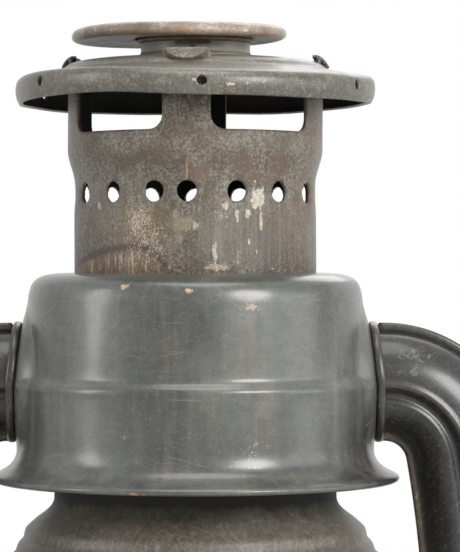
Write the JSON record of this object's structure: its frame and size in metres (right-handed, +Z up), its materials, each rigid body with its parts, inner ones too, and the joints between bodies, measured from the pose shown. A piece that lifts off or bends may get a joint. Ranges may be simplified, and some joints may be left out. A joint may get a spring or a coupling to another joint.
{
  "type": "hurricane lantern",
  "caption": "Worn field-grey cold-blast hurricane lantern with side air tubes, lifting globe and chimney, flat-wick burner, screw filler cap and swinging wire bail.",
  "frame": {"origin": "centre of the base pan's flat underside, on the table", "axes": "+Z up along the chimney, +X to the right-hand side tube, the front faces -Y"},
  "size_m": [0.1636, 0.12, 0.2798],
  "materials": {
    "grey_paint": "worn semi-gloss field-grey enamel",
    "dark_paint": "dark grey gloss enamel with scratches",
    "heat_worn_paint": "dull heat-worn grey enamel with rust stains and chips",
    "bare_steel": "dull tinned steel",
    "burner_brass": "tarnished brass",
    "globe_glass": "clear pressed glass",
    "cotton_wick": "woven cotton ribbon",
    "cork_seal": "dark pressed cork"
  },
  "bodies": {
    "frame": {"base_pan": "dark_paint", "tank_bowl": "grey_paint", "tank_lid": "bare_steel", "tank_seam": "grey_paint", "air_dome": "grey_paint", "tube_foot_left": "dark_paint", "tube_foot_right": "dark_paint", "side_tube_left": "dark_paint", "side_tube_right": "dark_paint", "tube_collar_left": "dark_paint", "tube_collar_right": "dark_paint", "chamber_shell": "grey_paint", "chamber_floor": "dark_paint", "chimney_spring": "bare_steel", "guard_wire_inner": "bare_steel", "guard_wire_outer": "bare_steel", "guard_clips": "bare_steel", "lever_stud": "bare_steel", "burner_collar": "burner_brass", "burner_body": "burner_brass", "burner_cone": "burner_brass", "wick_tube": "burner_brass", "shaft_bracket": "dark_paint", "filler_neck": "grey_paint", "bail_ear_left": "dark_paint", "bail_ear_right": "dark_paint"},
    "globe_carriage": {"globe": "globe_glass", "globe_plate": "bare_steel"},
    "chimney": {"chimney_tube": "heat_worn_paint", "globe_hood": "heat_worn_paint", "canopy": "grey_paint", "cap_collar": "grey_paint", "top_cap": "heat_worn_paint"},
    "lever": {"lift_lever": "bare_steel"},
    "wick_drive": {"wick_shaft": "bare_steel", "wick_wheels": "burner_brass", "wick_knob": "burner_brass"},
    "wick_ribbon": {"wick": "cotton_wick"},
    "cap_seal": {"cap_gasket": "cork_seal"},
    "screw_cap": {"filler_cap": "dark_paint"},
    "carry_bail": {"bail": "bare_steel"}
  },
  "joints": [
    {"name": "globe_lift", "type": "slide", "parent": "frame", "child": "globe_carriage", "axis": [0, 0, 1], "range_m": [0, 0.00585]},
    {"name": "chimney_lift", "type": "slide", "parent": "globe_carriage", "child": "chimney", "axis": [0, 0, 1], "range_m": [0, 0.007], "stiffness_N_per_m": 150, "springref_m": -0.012, "deforming": ["chimney_spring"]},
    {"name": "lever_press", "type": "hinge", "parent": "frame", "child": "lever", "pos_m": [0.05302, -0.0135, 0.06862], "axis": [0, 1, 0], "range_deg": [0, 26]},
    {"name": "wick_turn", "type": "hinge", "parent": "frame", "child": "wick_drive", "pos_m": [-0.0036, -0.00252, 0.0646], "axis": [0.5736, -0.8192, 0], "range_deg": [-60, 120]},
    {"name": "wick_feed", "type": "slide", "parent": "frame", "child": "wick_ribbon", "axis": [0, 0, 1], "range_m": [-0.00346, 0.00691]},
    {"name": "filler_rise", "type": "slide", "parent": "frame", "child": "cap_seal", "axis": [-0.4677, -0.3924, 0.792], "range_m": [0, 0.006]},
    {"name": "filler_turn", "type": "hinge", "parent": "cap_seal", "child": "screw_cap", "pos_m": [-0.03217, -0.027, 0.05275], "axis": [-0.4677, -0.3924, 0.792], "range_deg": [0, 720]},
    {"name": "bail_swing", "type": "hinge", "parent": "frame", "child": "carry_bail", "pos_m": [0, 0, 0.1781], "axis": [1, 0, 0], "range_deg": [0, 312.9]}
  ],
  "couplings": [
    {"joint": "lever_press", "follows": "globe_lift", "rad_per_m": 77.5},
    {"joint": "wick_feed", "follows": "wick_turn", "m_per_rad": 0.0033},
    {"joint": "filler_rise", "follows": "filler_turn", "m_per_rad": 0.000477}
  ]
}
